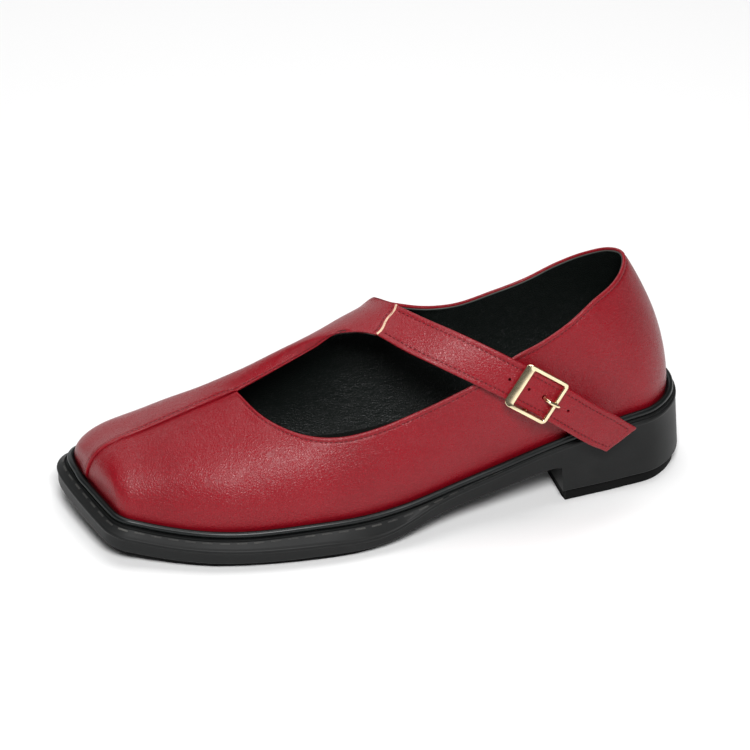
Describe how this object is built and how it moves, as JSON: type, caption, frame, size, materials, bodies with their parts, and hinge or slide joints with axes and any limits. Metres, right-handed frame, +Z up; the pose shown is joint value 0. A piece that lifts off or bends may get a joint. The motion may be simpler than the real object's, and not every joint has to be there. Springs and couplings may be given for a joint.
{
  "type": "mary jane shoe",
  "caption": "Left square-toed mary jane shoe with a low block heel, hollow upper with a side cut-out, and a buckled instep strap.",
  "frame": {"origin": "middle of the shoe's box, on the floor that it stands on", "axes": "+X towards the toe, +Y towards the lateral side with the buckle, +Z up"},
  "size_m": [0.2572, 0.0918, 0.096],
  "materials": {
    "upper_leather": "red synthetic leather with a fine pebble grain and a soft satin shine",
    "sock_lining": "black grained lining leather, slightly glossy",
    "moulded_sole": "charcoal black moulded rubber, satin",
    "tread_rubber": "black rubber, matt",
    "welt_bead": "near-black rubber rand with a greenish tint, satin",
    "buckle_metal": "pale gold plated, polished"
  },
  "bodies": {
    "root": {"sole_unit": "moulded_sole", "forefoot_tread": "tread_rubber", "heel_top_lift": "tread_rubber", "welt_bead": "welt_bead", "insole": "sock_lining", "upper": "upper_leather", "strap": "upper_leather", "buckle_chape": "upper_leather", "buckle_frame": "buckle_metal", "buckle_prong": "buckle_metal"}
  },
  "joints": []
}
